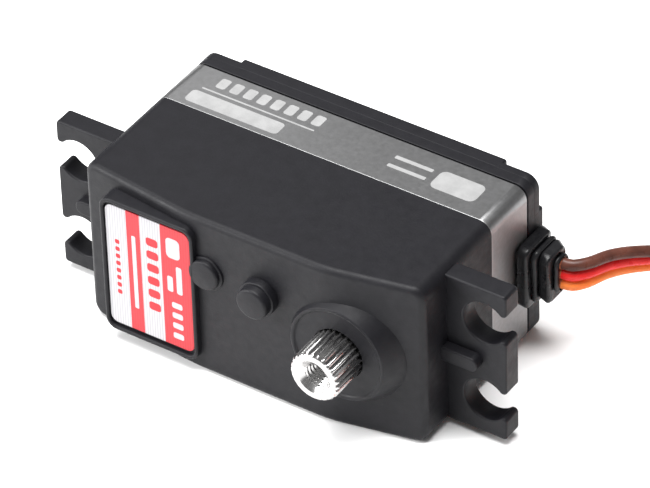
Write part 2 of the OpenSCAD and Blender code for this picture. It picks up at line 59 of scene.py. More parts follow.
# Places that come from the frame. Depth runs from the flat front face towards the bottom cover.
FRONT_Y = mm_box("gear_pin_b")[0][1]
CASE_HIGH = mm_box("middle_case")[1]
HALF_LEN = CASE_HIGH[0]
CASE_WID = CASE_HIGH[2]
MID_Z = CASE_WID / 2
COVER_REAR = mm_box("bottom_cover")[1][1] - FRONT_Y
BAND_FRONT = mm_box("top_case")[1][1] - FRONT_Y
BAND_REAR = mm_box("bottom_cover")[0][1] - FRONT_Y
EAR_TIP = mm_box("top_case")[1][0]


def centre(node, axis):
    """The middle of a node's box along one axis."""
    low, high = mm_box(node)
    return (low[axis] + high[axis]) / 2


OUTPUT_X = centre("front_bearing_outer", 0)
PIN_A_X = centre("gear_pin_a", 0)
PIN_B_X = centre("gear_pin_b", 0)
PIN_Z = centre("gear_pin_a", 2)
LABEL_X = centre("name_label", 0)


# ---------------------------------------------------------------- camera, floor and light

def add_camera():
    """A long lens at the angle, distance and roll of the photograph."""
    azimuth, elevation, roll = math.radians(34.68), math.radians(39.1), math.radians(-1.87)
    distance = 582.66
    target = Vector((2.77, 0.975, 12.75))
    back = Vector((math.sin(azimuth) * math.cos(elevation), -math.cos(azimuth) * math.cos(elevation),
                   math.sin(elevation)))
    right = Vector((0, 0, 1)).cross(back).normalized()
    up = back.cross(right)
    turned_right = right * math.cos(roll) + up * math.sin(roll)
    turned_up = up * math.cos(roll) - right * math.sin(roll)
    data = bpy.data.cameras.new("camera")
    data.sensor_width = 36
    data.lens = 314
    data.clip_start = 0.01
    data.clip_end = 20
    camera = bpy.data.objects.new("camera", data)
    turn = Matrix((turned_right, turned_up, back)).transposed().to_4x4()
    camera.matrix_world = Matrix.Translation((target + back * distance) * MM) @ turn
    bpy.context.collection.objects.link(camera)
    bpy.context.scene.camera = camera


def add_area(name, place, target, size, power):
    """A soft rectangular lamp at place, in metres, turned towards target."""
    data = bpy.data.lights.new(name, "AREA")
    data.shape = "RECTANGLE"
    data.size, data.size_y = size
    data.energy = power
    light = bpy.data.objects.new(name, data)
    aim = (Vector(target) - Vector(place)).to_track_quat("-Z", "Y")
    light.matrix_world = Matrix.Translation(place) @ aim.to_matrix().to_4x4()
    bpy.context.collection.objects.link(light)


def add_floor():
    mesh = bpy.data.meshes.new("floor")
    half = 1.5
    mesh.from_pydata([(-half, -half, 0), (half, -half, 0), (half, half, 0), (-half, half, 0)], [],
                     [(0, 1, 2, 3)])
    floor = bpy.data.objects.new("floor", mesh)
    floor.location.z = -0.0001
    bpy.context.collection.objects.link(floor)
    pale = bpy.data.materials.new("floor_white")
    pale.use_nodes = True
    shader = pale.node_tree.nodes["Principled BSDF"]
    shader.inputs["Base Color"].default_value = (0.94, 0.94, 0.94, 1)
    shader.inputs["Roughness"].default_value = 0.7
    mesh.materials.append(pale)


def add_light():
    """A white studio with one lamp in front, one overhead and a small accent behind the left end."""
    world = bpy.data.worlds.new("studio")
    world.use_nodes = True
    background = world.node_tree.nodes["Background"]
    background.inputs["Color"].default_value = (1, 1, 1, 1)
    background.inputs["Strength"].default_value = 0.27
    bpy.context.scene.world = world
    bpy.context.scene.view_settings.view_transform = "Standard"
    add_area("key", (-0.5, -0.42, 0.3), (0, 0, 0.01), (0.3, 0.3), 7)
    add_area("overhead", (-0.05, -0.05, 0.75), (0, 0, 0), (0.5, 0.5), 12)
    add_area("accent", (-0.055, 0.054, 0.07), (-0.02, 0.003, 0.02), (0.03, 0.03), 0.0035)


# ---------------------------------------------------------------- materials

def new_material(name, colour, rough, metal=0.0):
    """A material with one colour and roughness, ready for more nodes."""
    material = bpy.data.materials.new(name)
    material.use_nodes = True
    shader = material.node_tree.nodes["Principled BSDF"]
    shader.inputs["Base Color"].default_value = (*colour, 1)
    shader.inputs["Roughness"].default_value = rough
    shader.inputs["Metallic"].default_value = metal
    return material


def shader_of(material):
    return material.node_tree.nodes["Principled BSDF"]


def add_node(material, kind, **settings):
    node = material.node_tree.nodes.new(kind)
    for key, value in settings.items():
        setattr(node, key, value)
    return node


def link(material, source, target):
    material.node_tree.links.new(source, target)


def noise(material, size, detail=3.0, stretch=(1, 1, 1)):
    """Noise in the piece's own space, with features about size millimetres wide."""
    place = add_node(material, "ShaderNodeTexCoord")
    scale = add_node(material, "ShaderNodeMapping")
    scale.inputs["Scale"].default_value = stretch
    texture = add_node(material, "ShaderNodeTexNoise")
    texture.inputs["Scale"].default_value = 1 / (size * MM)
    texture.inputs["Detail"].default_value = detail
    link(material, place.outputs["Object"], scale.inputs["Vector"])
    link(material, scale.outputs["Vector"], texture.inputs["Vector"])
    return texture.outputs["Fac"]


def ramp(material, source, stops, constant=False):
    """A colour ramp over source, from (position, colour) stops."""
    node = add_node(material, "ShaderNodeValToRGB")
    node.color_ramp.interpolation = "CONSTANT" if constant else "LINEAR"
    elements = node.color_ramp.elements
    while len(elements) < len(stops):
        elements.new(0.5)
    for element, (position, colour) in zip(elements, stops):
        element.position = position
        element.color = (*colour, 1)
    link(material, source, node.inputs["Fac"])
    return node.outputs["Color"]


def tint(material, dark, light, size, stretch=(1, 1, 1)):
    """The colour wanders between dark and light."""
    colour = ramp(material, noise(material, size, 4, stretch), [(0.35, dark), (0.65, light)])
    link(material, colour, shader_of(material).inputs["Base Color"])


def vary_rough(material, low, high, size, stretch=(1, 1, 1)):
    """The roughness wanders between low and high."""
    span = add_node(material, "ShaderNodeMapRange")
    span.inputs["From Min"].default_value = 0.3
    span.inputs["From Max"].default_value = 0.7
    span.inputs["To Min"].default_value = low
    span.inputs["To Max"].default_value = high
    link(material, noise(material, size, 3, stretch), span.inputs["Value"])
    link(material, span.outputs["Result"], shader_of(material).inputs["Roughness"])


def bump(material, size, depth, strength=1.0, stretch=(1, 1, 1), under=None):
    """Fine relief, depth millimetres deep, over any relief given as under."""
    node = add_node(material, "ShaderNodeBump")
    node.inputs["Strength"].default_value = strength
    node.inputs["Distance"].default_value = depth * MM
    link(material, noise(material, size, 4, stretch), node.inputs["Height"])
    if under is not None:
        link(material, under, node.inputs["Normal"])
    link(material, node.outputs["Normal"], shader_of(material).inputs["Normal"])
    return node.outputs["Normal"]


def moulded(name, dark, light, rough, grain=0.22, depth=0.012):
    """Moulded plastic: cloudy colour, uneven gloss and a fine eroded texture."""
    material = new_material(name, dark, rough)
    tint(material, dark, light, 1.4)
    vary_rough(material, rough - 0.05, rough + 0.06, 0.9)
    bump(material, grain, depth, 1.0, under=bump(material, 6, 0.02, 0.3))
    shader_of(material).inputs["Specular IOR Level"].default_value = 0.21
    return material


def machined(name, dark, light, rough, stretch=(1, 1, 1), grain=0.12, depth=0.004, uneven=0.07):
    """Cut metal: streaks along the tool's path."""
    material = new_material(name, light, rough, 1.0)
    tint(material, dark, light, 0.5, stretch)
    vary_rough(material, rough - uneven, rough + uneven, 0.4, stretch)
    bump(material, grain, depth, 1.0, stretch)
    return material


def make_label_material():
    """White film with two red bands and fine grey pinstripes, set out along X."""
    material = new_material("label_print", (0.85, 0.85, 0.86), 0.32)
    low, high = mm_box("name_label")
    place = add_node(material, "ShaderNodeTexCoord")
    split = add_node(material, "ShaderNodeSeparateXYZ")
    link(material, place.outputs["Object"], split.inputs["Vector"])
    along = add_node(material, "ShaderNodeMapRange")
    along.inputs["From Min"].default_value = low[0] * MM
    along.inputs["From Max"].default_value = high[0] * MM
    link(material, split.outputs["X"], along.inputs["Value"])
    white, red = (0.43, 0.42, 0.435), (0.47, 0.022, 0.03)
    bands = ramp(material, along.outputs["Result"],
                 [(0.0, white), (0.25, red), (0.41, white), (0.655, red)], constant=True)
    stripes = add_node(material, "ShaderNodeTexWave", wave_type="BANDS", bands_direction="X")
    stripes.inputs["Scale"].default_value = 0.5 / (0.5 * MM)
    link(material, place.outputs["Object"], stripes.inputs["Vector"])
    lines = ramp(material, stripes.outputs["Fac"], [(0.0, (0.55, 0.56, 0.58)), (0.3, (1, 1, 1))])
    mix = add_node(material, "ShaderNodeMix", data_type="RGBA", blend_type="MULTIPLY")
    mix.inputs["Factor"].default_value = 0.75
    link(material, bands, mix.inputs["A"])
    link(material, lines, mix.inputs["B"])
    link(material, mix.outputs["Result"], shader_of(material).inputs["Base Color"])
    bump(material, 0.9, 0.01, 0.6)
    shader_of(material).inputs["Specular IOR Level"].default_value = 0.3
    return material


def make_materials():
    """One material for each material slot of the record, but the wires."""
    made = {
        "black_nylon": moulded("nylon_black", (0.006, 0.0058, 0.0076), (0.0073, 0.0071, 0.0092), 0.5),
        "satin_aluminium": machined("aluminium_satin", (0.235, 0.235, 0.237), (0.26, 0.26, 0.263), 0.4,
                                    grain=0.06, depth=0.0012, uneven=0.025),
        "black_screw": machined("screw_black", (0.07, 0.07, 0.073), (0.11, 0.11, 0.115), 0.33),
        "label_film": make_label_material(),
        "black_rubber": moulded("rubber_black", (0.006, 0.006, 0.007), (0.014, 0.014, 0.015), 0.3,
                                grain=0.5, depth=0.03),
        "steel": machined("steel_machined", (0.44, 0.436, 0.432), (0.54, 0.535, 0.53), 0.22,
                          stretch=(1, 0.25, 1), grain=0.15, depth=0.0005, uneven=0.03),
        "bearing_steel": machined("steel_ground", (0.6, 0.6, 0.61), (0.74, 0.74, 0.75), 0.14),
        "gear_brass": machined("brass_cut", (0.55, 0.38, 0.14), (0.72, 0.52, 0.22), 0.28),
        "gear_alloy": machined("alloy_anodised", (0.3, 0.31, 0.33), (0.42, 0.43, 0.45), 0.34),
        "magnet": machined("magnet_nickel", (0.3, 0.3, 0.31), (0.42, 0.42, 0.43), 0.3),
        "copper_winding": machined("copper_enamelled", (0.4, 0.13, 0.04), (0.6, 0.24, 0.08), 0.3,
                                   stretch=(1, 0.1, 1), grain=0.2, depth=0.03),
        "motor_plastic": moulded("motor_black", (0.016, 0.016, 0.018), (0.03, 0.03, 0.03), 0.4),
        "pot_plastic": moulded("pot_blue", (0.04, 0.1, 0.25), (0.06, 0.14, 0.32), 0.4),
        "pot_white": moulded("pot_white", (0.72, 0.7, 0.64), (0.8, 0.78, 0.72), 0.4),
        "board_green": moulded("board_green", (0.01, 0.09, 0.035), (0.02, 0.14, 0.05), 0.28),
        "chip_black": moulded("chip_black", (0.012, 0.012, 0.012), (0.025, 0.025, 0.025), 0.45),
        "ceramic": moulded("ceramic_tan", (0.35, 0.24, 0.13), (0.5, 0.36, 0.2), 0.35),
        "tie_plastic": moulded("tie_black", (0.012, 0.012, 0.012), (0.024, 0.024, 0.024), 0.4),
        "connector_plastic": moulded("plug_black", (0.011, 0.011, 0.012), (0.022, 0.022, 0.023), 0.36),
        "contact_gold": machined("contact_gold", (0.62, 0.42, 0.14), (0.83, 0.6, 0.24), 0.22),
    }
    return made


def wire_material(name, dark, light):
    """Soft insulation: slightly waxy, with cloudy colour and a fine texture."""
    material = moulded(name, dark, light, 0.3, grain=0.35, depth=0.012)
    shader_of(material).inputs["Subsurface Weight"].default_value = 0.06
    shader_of(material).inputs["Subsurface Scale"].default_value = 0.0006
    return material


# ---------------------------------------------------------------- mesh helpers

def arc(cx, cz, radius, start, end, steps=8):
    """Points on an arc in X and Z, with angles in degrees."""
    angles = [math.radians(start + (end - start) * i / steps) for i in range(steps + 1)]
    return [(cx + radius * math.cos(a), cz + radius * math.sin(a)) for a in angles]


def soft_rect(cx, cz, length, width, radius, steps=8):
    """A rectangle with round corners, counterclockwise in X and Z."""
    dx, dz = length / 2 - radius, width / 2 - radius
    points = []
    for side_x, side_z, start in ((1, 1, 0), (-1, 1, 90), (-1, -1, 180), (1, -1, 270)):
        points += arc(cx + side_x * dx, cz + side_z * dz, radius, start, start + 90, steps)
    return points


def at_depth(point, depth):
    return (point[0], FRONT_Y + depth, point[1])


def round_edges(bm, width, segments=3, angle=30, edges=None):
    """Rounds the given edges, or all that are sharper than angle."""
    if edges is None:
        edges = [e for e in bm.edges if len(e.link_faces) == 2
                 and e.calc_face_angle(0) > math.radians(angle)]
    bmesh.ops.bevel(bm, geom=edges, offset=width, segments=segments, profile=0.5, affect="EDGES",
                    clamp_overlap=False)


def prism(loop, d0, d1, width=0.0, segments=3):
    """A plate between two depths with this outline, its edges rounded."""
    bm = bmesh.new()
    front = [bm.verts.new(at_depth(p, d0)) for p in loop]
    rear = [bm.verts.new(at_depth(p, d1)) for p in loop]
    bm.faces.new(front)
    bm.faces.new(rear[::-1])
    for i, j in zip(range(len(loop)), list(range(1, len(loop))) + [0]):
        bm.faces.new((front[i], rear[i], rear[j], front[j]))
    bmesh.ops.recalc_face_normals(bm, faces=bm.faces)
    if width:
        round_edges(bm, width, segments)
    return bm


def frame_prism(outer, inner, d0, d1, width):
    """A plate with one hole; both outlines have the same number of points."""
    bm = bmesh.new()
    rings = [[bm.verts.new(at_depth(p, d)) for p in loop]
             for loop, d in ((outer, d0), (outer, d1), (inner, d1), (inner, d0))]
    count = len(outer)
    for a, b in zip(rings, rings[1:] + rings[:1]):
        for i in range(count):
            j = (i + 1) % count
            bm.faces.new((a[i], b[i], b[j], a[j]))
    bmesh.ops.recalc_face_normals(bm, faces=bm.faces)
    round_edges(bm, width)
    return bm


def lathe(cx, cz, profile, width=0.0, steps=72):
    """A turned piece about the depth axis, from (radius, depth) points; the ends are capped."""
    bm = bmesh.new()
    rings = []
    for radius, depth in profile:
        rings.append([bm.verts.new(at_depth(p, depth)) for p in arc(cx, cz, radius, 0, 360, steps)[:-1]])
    for a, b in zip(rings, rings[1:]):
        for i in range(steps):
            j = (i + 1) % steps
            bm.faces.new((a[i], a[j], b[j], b[i]))
    bm.faces.new(rings[0])
    bm.faces.new(rings[-1])
    bmesh.ops.recalc_face_normals(bm, faces=bm.faces)
    if width:
        round_edges(bm, width, angle=20)
    return bm


def joined(name, shells):
    """One mesh from several closed shells."""
    mesh = bpy.data.meshes.new(name)
    whole = bmesh.new()
    for shell in shells:
        shell.to_mesh(mesh)
        shell.free()
        whole.from_mesh(mesh)
    whole.to_mesh(mesh)
    whole.free()
    return mesh


def finish_mesh(name, mesh, materials, body="case", smooth=35, weighted=True):
    """Scales a mesh to metres, shades it and lets it ride on a body."""
    mesh.transform(Matrix.Scale(MM, 4))
    piece = bpy.data.objects.new(name, mesh)
    bpy.context.collection.objects.link(piece)
    for material in materials:
        mesh.materials.append(material)
    mesh.shade_smooth()
    mesh.set_sharp_from_angle(angle=math.radians(smooth))
    if weighted:
        normals = piece.modifiers.new("even_shading", "WEIGHTED_NORMAL")
        normals.keep_sharp = True
    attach(piece, body)
    return piece


def soften(node, width, segments=3, angle=40):
    """Rounds the edges of a CAD node with modifiers, which leave its mesh as it is."""
    piece = nodes[node]
    weld = piece.modifiers.new("weld", "WELD")
    weld.merge_threshold = 0.000002
    flat = piece.modifiers.new("flat", "DECIMATE")
    flat.decimate_type = "DISSOLVE"
    flat.angle_limit = math.radians(0.5)
    bevel = piece.modifiers.new("edges", "BEVEL")
    bevel.width = width * MM
    bevel.segments = segments
    bevel.limit_method = "ANGLE"
    bevel.angle_limit = math.radians(angle)
    bevel.use_clamp_overlap = False
    bevel.harden_normals = True


# ---------------------------------------------------------------- front casing

EDGE_R = 0.72
CORNER_R = 1.5
FLAT_LEFT, FLAT_RIGHT = -6.9, 10.1
DROP_LEFT, DROP_RIGHT = 1.75, 2.2
BEND = 1.6
WALL = 1.3
EAR_FRONT, EAR_REAR = 6.4, 8.8


def front_depth(x):
    """Depth of the front face: flat in the middle, sloping back to both ends through soft bends."""
    def slope(past, length, drop):
        tangent = drop / length
        if past <= -BEND:
            return 0
        if past < BEND:
            return tangent * (past + BEND) ** 2 / (4 * BEND)
        return tangent * past
    return (slope(x - FLAT_RIGHT, HALF_LEN - FLAT_RIGHT, DROP_RIGHT)
            + slope(FLAT_LEFT - x, HALF_LEN + FLAT_LEFT, DROP_LEFT))


def case_body():
    """The hollow box, with its soft front edges."""
    bm = bmesh.new()
    edge_x = HALF_LEN - CORNER_R
    bends = [c + BEND * k / 3 for c in (FLAT_LEFT, FLAT_RIGHT) for k in range(-3, 4)]
    stations = [-edge_x] + bends + [edge_x]
    top = [(x, CASE_WID) for x in stations]
    low = [(x, 0) for x in stations]
    right = arc(edge_x, CORNER_R, CORNER_R, -90, 0)[1:]
    right += arc(edge_x, CASE_WID - CORNER_R, CORNER_R, 0, 90)[:-1]
    left = [(-x, z) for x, z in right]
    front = {p: bm.verts.new(at_depth(p, front_depth(p[0]))) for p in top + low + right + left}
    for i in range(len(stations) - 1):
        bm.faces.new([front[p] for p in (low[i], low[i + 1], top[i + 1], top[i])])
    bm.faces.new([front[p] for p in [low[-1]] + right + [top[-1]]])
    bm.faces.new([front[p] for p in [low[0]] + left + [top[0]]])
    loop = low + right + top[::-1] + left[::-1]
    rear = [bm.verts.new(at_depth(p, BAND_FRONT)) for p in loop]
    rim = []
    for i in range(len(loop)):
        j = (i + 1) % len(loop)
        side = bm.faces.new((front[loop[i]], front[loop[j]], rear[j], rear[i]))
        rim.append(next(e for e in side.edges if set(e.verts) == {front[loop[i]], front[loop[j]]}))
    back = bm.faces.new(rear[::-1])
    bmesh.ops.recalc_face_normals(bm, faces=bm.faces)
    bmesh.ops.inset_individual(bm, faces=[back], thickness=WALL, use_even_offset=True)
    deep = bmesh.ops.extrude_discrete_faces(bm, faces=[back])["faces"][0]
    for vert in deep.verts:
        vert.co.y = FRONT_Y + front_depth(vert.co.x) + WALL
    round_edges(bm, EDGE_R, 6, edges=rim)
    return bm


def ear_loop(side):
    """The outline of an ear, with two screw slots that are open at its tip."""
    slots = [MID_Z - 5.05, MID_Z + 5.05]
    slot_x, slot_r, mouth, tip_r = 25, 2.5, 1.6, 0.45
    low, high, root = MID_Z - 9.4, MID_Z + 9.4, HALF_LEN - 1
    opening = math.degrees(math.asin(mouth / slot_r))
    inner = EAR_TIP - tip_r
    loop = [(root, low)] + arc(inner, low + tip_r, tip_r, -90, 0, 4)
    for z in slots:
        loop += arc(inner, z - mouth - tip_r, tip_r, 0, 90, 4)
        loop += arc(slot_x, z, slot_r, 360 - opening, opening, 28)
        loop += arc(inner, z + mouth + tip_r, tip_r, -90, 0, 4)
    loop += arc(inner, high - tip_r, tip_r, 0, 90, 4) + [(root, high)]
    return [(side * x, z) for x, z in loop]


def ear_shells():
    """Both ears, each with a short rib on its front."""
    shells = []
    for side in (-1, 1):
        shells.append(prism(ear_loop(side), EAR_FRONT, EAR_REAR, 0.22))
        rib = soft_rect(side * (HALF_LEN + 1.1), MID_Z, 6.2, 1.7, 0.8, 6)
        shells.append(prism(rib, EAR_FRONT - 1.2, EAR_FRONT + 0.4, 0.18))
    return shells


def boss_shells():
    """The two stepped bosses that hold the gear pins."""
    low_boss = [(1.8, 1.5), (1.8, -0.76), (0.001, -0.76)]
    low_ring = [(2.1, 1.5), (2.1, -0.25), (0.001, -0.25)]
    high_boss = [(1.85, 1.2), (1.85, -2), (0.001, -2)]
    high_ring = [(2.1, 1.2), (2.1, -1), (0.001, -1)]
    shells = [lathe(PIN_B_X, PIN_Z, low_boss, 0.28), lathe(PIN_B_X, PIN_Z, low_ring, 0.12),
              lathe(PIN_A_X, PIN_Z, high_boss, 0.32), lathe(PIN_A_X, PIN_Z, high_ring, 0.14)]
    return shells


def output_boss():
    """The tapered boss round the output shaft, with a lip that closes on the splines."""
    profile = [(3.25, 0.6), (3.25, 0.1), (2.97, 0.06), (2.97, -0.3), (5.12, -0.3), (5.3, -0.5),
               (5.6, -0.5), (6.95, 1.75), (6.95, 2.6)]
    return lathe(OUTPUT_X, MID_Z, profile, 0.09, 96)


SPLINES = 25
SPLINE_R, SPLINE_ROOT = 2.93, 2.66
SHAFT_REACH = 4.75
THREAD_R, THREAD_PITCH = 1.42, 0.5
LAST_TEETH, OUTPUT_TEETH = 16, 34
OUTPUT_MODULE = 0.4
WHEEL_FRONT, WHEEL_REAR = 6.5, 8.5
PRESSURE_ANGLE = math.radians(20)


def shaft_ring(depth, outline):
    """Points round the output axis; outline gives the radius at an angle in turns."""
    count = SPLINES * 6
    points = []
    for i in range(count):
        radius = outline(i / count)
        angle = 2 * math.pi * i / count
        place = (OUTPUT_X + radius * math.cos(angle), MID_Z + radius * math.sin(angle))
        points.append(at_depth(place, depth))
    return points


def tooth_radius(turn):
    """Radius of the splined outline: six points a tooth, with a narrow crest."""
    heights = (0.0, 0.0, 0.62, 1.0, 1.0, 0.62)
    return SPLINE_ROOT + (SPLINE_R - SPLINE_ROOT) * heights[round(turn * SPLINES * 6) % 6]


def thread_radius(depth):
    """Radius of the tapped hole at a depth, as a function of the turn."""
    def radius(turn):
        phase = (depth / THREAD_PITCH - turn) % 1
        return THREAD_R - 0.2 * max(0.0, 1 - abs(phase - 0.5) / 0.32)
    return radius


def half_tooth(teeth, module, radius):
    """Half the angle that an involute tooth takes up at a radius, in degrees."""
    def involute(angle):
        return math.degrees(math.tan(angle)) - math.degrees(angle)
    base = teeth * module / 2 * math.cos(PRESSURE_ANGLE)
    at_radius = math.acos(min(1, base / max(radius, base)))
    # 90 would leave no play between the teeth
    return 89 / teeth + involute(PRESSURE_ANGLE) - involute(at_radius)


def gear_loop(x, z, teeth, module, turn):
    """The outline of a spur gear, with one tooth at the angle turn."""
    pitch = teeth * module / 2
    radii = [pitch + k * module for k in (-1.15, -0.35, 0.25, 0.85)]
    loop = []
    for i in range(teeth):
        for side in (-1, 1):
            for radius in radii[::-side]:
                angle = math.radians(turn + i * 360 / teeth + side * half_tooth(teeth, module, radius))
                loop.append((x + radius * math.cos(angle), z + radius * math.sin(angle)))
    return loop


def ring_shell(rings):
    """A closed shell through rings that all have the same number of points."""
    bm = bmesh.new()
    loops = [[bm.verts.new(p) for p in ring] for ring in rings]
    for near, far in zip(loops, loops[1:]):
        for i in range(len(near)):
            j = (i + 1) % len(near)
            bm.faces.new((near[i], near[j], far[j], far[i]))
    bm.faces.new(loops[0])
    bm.faces.new(loops[-1])
    bmesh.ops.recalc_face_normals(bm, faces=bm.faces)
    return bm


def make_output_gear(material):
    """The output gear and its splined shaft, with a countersunk and tapped hole for the horn's screw."""
    def plain(radius):
        return lambda turn: radius

    rings = []
    for radius, depth in ((1.55, 9), (1.55, 11.2), (2.5, 11.2), (2.5, 8.8), (2.9, 8.8), (2.9, 6.6),
                          (3.6, 6.6), (3.6, 2.5), (3, 2.5), (3, 0.15), (SPLINE_ROOT, 0.15)):
        rings.append(shaft_ring(depth, plain(radius)))
    rings.append(shaft_ring(0.1, tooth_radius))
    rings.append(shaft_ring(0.36 - SHAFT_REACH, tooth_radius))
    for edge, drop in ((2.78, 0.12), (2.67, 0.02), (2.6, 0)):
        rings.append(shaft_ring(drop - SHAFT_REACH, lambda turn, edge=edge: min(edge, tooth_radius(turn))))
    for radius, drop in ((2.02, 0), (1.97, 0.03), (1.47, 0.5)):
        rings.append(shaft_ring(drop - SHAFT_REACH, plain(radius)))
    for i in range(73):
        depth = 0.56 - SHAFT_REACH + i * THREAD_PITCH / 8
        rings.append(shaft_ring(depth, thread_radius(depth)))
    toward = math.degrees(math.atan2(MID_Z - PIN_Z, OUTPUT_X - PIN_A_X))
    turn = toward + 180 - (0.5 - toward * LAST_TEETH / 360) * 360 / OUTPUT_TEETH
    wheel = prism(gear_loop(OUTPUT_X, MID_Z, OUTPUT_TEETH, OUTPUT_MODULE, turn), WHEEL_FRONT, WHEEL_REAR)
    mesh = joined("output_gear_turned", [ring_shell(rings), wheel])
    piece = finish_mesh("output_gear_turned", mesh, [material], body="output", smooth=28, weighted=False)
    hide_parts("output_gear")


def label_frame():
    """The raised frame round the label and the floor it lies on."""
    length, width, radius = 11.6, 17.4, 1.3
    x = LABEL_X + 0.03
    outer = soft_rect(x, MID_Z, length, width, radius)
    inner = soft_rect(x, MID_Z, length - 0.9, width - 1, radius - 0.35)
    floor = soft_rect(x, MID_Z, length - 0.4, width - 0.4, radius - 0.2)
    return [frame_prism(outer, inner, -0.76, 2.4, 0.2), prism(floor, -0.3, 2.3)]


def make_top_case(material):
    shells = [case_body(), output_boss()] + ear_shells() + boss_shells() + label_frame()
    piece = finish_mesh("front_casing", joined("front_casing", shells), [material])
    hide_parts("top_case")


# ---------------------------------------------------------------- bottom cover, screws and grommet

PAD_SIZE, PAD_DEPTH = 4.3, 24.1
HEAD_SEAT, HEAD_HOLE = 23.15, 1.7
HEAD_R, HEAD_TALL = 1.6, 0.9
JOINT_GROOVE = 0.22
LEAD_Y = 12.6
SCREW_X, SCREW_EDGE = 18.4, 2.2


def make_bottom_cover(material):
    """The cover: a wall, a raised back with a shallow panel, and a low pad with a screw hole at each
    corner.
    """
    length = 2 * HALF_LEN
    tall = CASE_WID - 2 * PAD_SIZE
    wall = soft_rect(0, MID_Z, length - 0.04, CASE_WID - 0.04, CORNER_R)
    lip = soft_rect(0, MID_Z, length - 0.5, CASE_WID - 0.5, CORNER_R - 0.25)
    cavity = soft_rect(0, MID_Z, length - 2 * WALL, CASE_WID - 2 * WALL, 0.4)
    waist = soft_rect(0, MID_Z, length - 2 * PAD_SIZE, CASE_WID, 0.3)
    panel = soft_rect(0, MID_Z, 27, 13, 1.2)
    shells = [frame_prism(wall, cavity, BAND_REAR + JOINT_GROOVE, HEAD_SEAT + 0.3, 0.08),
              frame_prism(lip, cavity, BAND_REAR, BAND_REAR + 0.4, 0.02),
              prism(cavity, HEAD_SEAT - 0.2, HEAD_SEAT),
              frame_prism(waist, panel, HEAD_SEAT - 0.1, COVER_REAR, 0.2),
              prism(soft_rect(0, MID_Z, 28, 14, 1), HEAD_SEAT - 0.1, COVER_REAR - 0.25)]
    for side in (-1, 1):
        end = soft_rect(side * (HALF_LEN - PAD_SIZE / 2 - 0.6), MID_Z, PAD_SIZE + 1.2, tall, 0.3)
        shells.append(prism(end, HEAD_SEAT - 0.1, COVER_REAR - 0.004, 0.2))
        for across in (-1, 1):
            x = side * (HALF_LEN - PAD_SIZE / 2 - 1.01)
            z = MID_Z + across * (MID_Z - PAD_SIZE / 2 - 1.01)
            pad = soft_rect(x, z, PAD_SIZE + 2, PAD_SIZE + 2, CORNER_R)
            hole = soft_rect(side * SCREW_X, MID_Z + across * (MID_Z - SCREW_EDGE), 2 * HEAD_HOLE,
                             2 * HEAD_HOLE, HEAD_HOLE - 0.001)
            shells.append(frame_prism(pad, hole, HEAD_SEAT - 0.1, PAD_DEPTH, 0.1))
    piece = finish_mesh("cover_shell", joined("cover_shell", shells), [material])
    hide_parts("bottom_cover")



def hexagon(x, z, across, count):
    """A hexagon with this distance from centre to flat, sampled at count points."""
    points = []
    for i in range(count):
        angle = 2 * math.pi * (i + 0.5) / count
        radius = across / math.cos((angle % (math.pi / 3)) - math.pi / 6)
        points.append((x + radius * math.cos(angle), z + radius * math.sin(angle)))
    return points


def screw_shell(x, z, tip, seat, top):
    """A cap screw with a hexagonal socket, its head at the rear."""
    count = 48
    profile = ((0.5, tip), (0.78, tip + 0.4), (0.78, seat), (1.5, seat), (1.58, seat + 0.08),
               (1.58, top - 0.16), (1.53, top - 0.05), (1.42, top), (0.86, top), (0.83, top - 0.03))
    rings = []
    for radius, depth in profile:
        angles = [2 * math.pi * (i + 0.5) / count for i in range(count)]
        loop = [(x + radius * math.cos(a), z + radius * math.sin(a)) for a in angles]
        rings.append([at_depth(p, depth) for p in loop])
    rings.append([at_depth(p, top - 0.1) for p in hexagon(x, z, 0.68, count)])
    rings.append([at_depth(p, top - 0.6) for p in hexagon(x, z, 0.68, count)])
    return ring_shell(rings)


def make_screws(material):
    """The four long screws that hold the three case parts together."""
    low, high = mm_box("case_screws")
    tip, top = low[1] - FRONT_Y, high[1] - FRONT_Y
    shells = []
    for x in (low[0] + HEAD_R, high[0] - HEAD_R):
        for z in (low[2] + HEAD_R, high[2] - HEAD_R):
            shells.append(screw_shell(x, z, tip, top - HEAD_TALL, top))
    piece = finish_mesh("cap_screws", joined("cap_screws", shells), [material], weighted=False)
    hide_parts("case_screws")


def make_grommet(material):
    """The rubber block round the lead, uneven as moulded rubber is, with a slot for the ribbon."""
    lobes = [(18.9, 20.6, 20.7, 23.5, 2.5), (20.6, 22, 19.25, 24.55, 3.85), (22, 22.6, 19.9, 24.2, 3.3),
             (22.6, 24, 20.35, 24.15, 3.05), (23.7, 24.4, 21.35, 23.85, 2.25)]
    slot_depth, slot_in = LEAD_Y - FRONT_Y, 22.4

    def section(x, d0, d1, half, radius, uneven=0.0):
        loop = soft_rect((d0 + d1) / 2, MID_Z, d1 - d0, 2 * half, radius)
        points = []
        for d, z in loop:
            shift = uneven * math.sin(2.1 * z + 3.3 * x) + uneven * math.cos(1.7 * d - 2.9 * x)
            points.append((x + 0.6 * shift, FRONT_Y + d + shift, z + 0.7 * shift))
        return points

    rings = []
    for x0, x1, d0, d1, half in lobes:
        round_by = 0.3
        steps = ((x0, 0.3), (x0 + 0.05, 0.14), (x0 + 0.16, 0.04), (x0 + round_by, 0), (x1 - round_by, 0),
                 (x1 - 0.16, 0.04), (x1 - 0.05, 0.14), (x1, 0.3))
        for x, inset in steps:
            rings.append(section(x, d0 + inset, d1 - inset, half - inset, 0.95 - inset * 0.6, 0.085))
    for x, grow in ((24.4, 0.16), (24.3, 0.04), (24.1, 0), (slot_in, 0)):
        rings.append(section(x, slot_depth - 0.7 - grow, slot_depth + 0.7 + grow, 2 + grow, 0.66))
    piece = finish_mesh("rubber_grommet", joined("rubber_grommet", [ring_shell(rings)]), [material],
                        smooth=60, weighted=False)
    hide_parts("cable_grommet")


